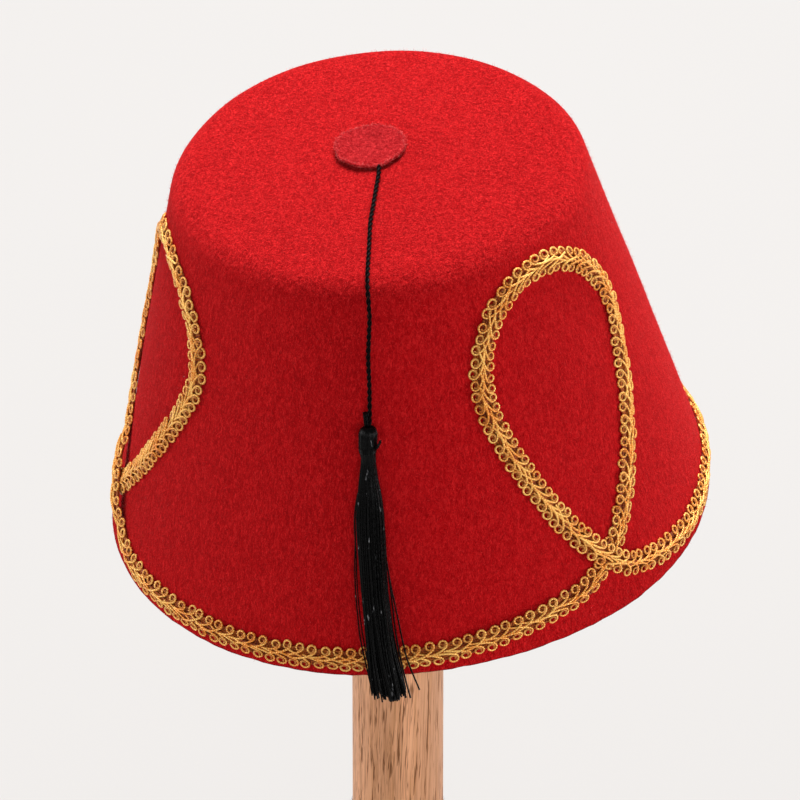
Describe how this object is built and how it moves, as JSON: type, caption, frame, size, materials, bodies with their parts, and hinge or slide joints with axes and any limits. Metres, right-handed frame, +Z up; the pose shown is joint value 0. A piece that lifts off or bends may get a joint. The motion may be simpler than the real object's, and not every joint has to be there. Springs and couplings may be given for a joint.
{
  "type": "fez hat on a wooden stand",
  "caption": "Red felt fez with a gold scroll braid and a black tassel, resting on an upright wooden hat stand.",
  "frame": {"origin": "middle of the stand's flat underside, on the post's axis", "axes": "+Z up along the post, front of the hat with the tassel towards -Y, +X to the right as seen from the front"},
  "size_m": [0.1897, 0.2004, 0.3303],
  "materials": {
    "red_felt": "matte",
    "pressed_felt": "matte",
    "black_thread": "satin",
    "gold_thread": "satin",
    "oak": "satin",
    "grey_metal": "brushed"
  },
  "bodies": {
    "root": {"crown": "red_felt", "crown_button": "pressed_felt", "tassel_cord": "black_thread", "tassel": "black_thread", "gold_braid": "gold_thread", "stand_cap": "oak", "stand_post": "oak", "post_collar": "grey_metal", "stand_base": "oak"}
  },
  "joints": []
}
